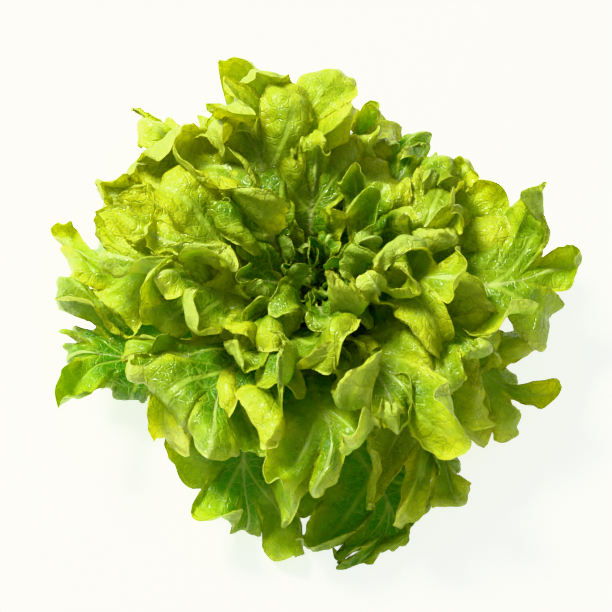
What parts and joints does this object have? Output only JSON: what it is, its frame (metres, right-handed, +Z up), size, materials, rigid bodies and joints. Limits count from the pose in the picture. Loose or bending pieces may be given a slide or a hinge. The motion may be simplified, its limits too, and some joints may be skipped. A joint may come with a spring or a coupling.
{
  "type": "lettuce head",
  "caption": "Head of green oak-leaf lettuce: an open rosette of lobed, curling leaves spiralling up a short stem with a flat cut base.",
  "frame": {"origin": "centre of the stem's flat cut face, which lies on the table", "axes": "+Z up the stem, out of the heart; -Y towards the viewer of the front; +X to that viewer's right"},
  "size_m": [0.2863, 0.2799, 0.1241],
  "materials": {
    "outer_leaf": "smooth, slightly glossy, finely veined, fresh green",
    "inner_leaf": "smooth, slightly glossy, finely veined, bright yellow-green",
    "heart_leaf": "smooth, tender, pale yellow-green",
    "stem": "smooth, moist, white-green, cut flat at the foot"
  },
  "bodies": {
    "root": {"leaf_01": "outer_leaf", "leaf_02": "outer_leaf", "leaf_03": "outer_leaf", "leaf_04": "outer_leaf", "leaf_05": "outer_leaf", "leaf_06": "outer_leaf", "leaf_07": "outer_leaf", "leaf_08": "outer_leaf", "leaf_09": "outer_leaf", "leaf_10": "outer_leaf", "leaf_11": "outer_leaf", "leaf_12": "outer_leaf", "leaf_13": "outer_leaf", "leaf_14": "outer_leaf", "leaf_15": "outer_leaf", "leaf_16": "outer_leaf", "leaf_17": "inner_leaf", "leaf_18": "inner_leaf", "leaf_19": "inner_leaf", "leaf_20": "inner_leaf", "leaf_21": "inner_leaf", "leaf_22": "inner_leaf", "leaf_23": "inner_leaf", "leaf_24": "inner_leaf", "leaf_25": "inner_leaf", "leaf_26": "inner_leaf", "leaf_27": "inner_leaf", "leaf_28": "inner_leaf", "leaf_29": "inner_leaf", "leaf_30": "inner_leaf", "leaf_31": "inner_leaf", "leaf_32": "inner_leaf", "leaf_33": "heart_leaf", "leaf_34": "heart_leaf", "leaf_35": "heart_leaf", "leaf_36": "heart_leaf", "leaf_37": "heart_leaf", "leaf_38": "heart_leaf", "leaf_39": "heart_leaf", "leaf_40": "heart_leaf", "leaf_41": "heart_leaf", "leaf_42": "heart_leaf", "leaf_43": "heart_leaf", "leaf_44": "heart_leaf", "leaf_45": "heart_leaf", "leaf_46": "heart_leaf", "leaf_47": "heart_leaf", "leaf_48": "heart_leaf", "stem": "stem"}
  },
  "joints": []
}
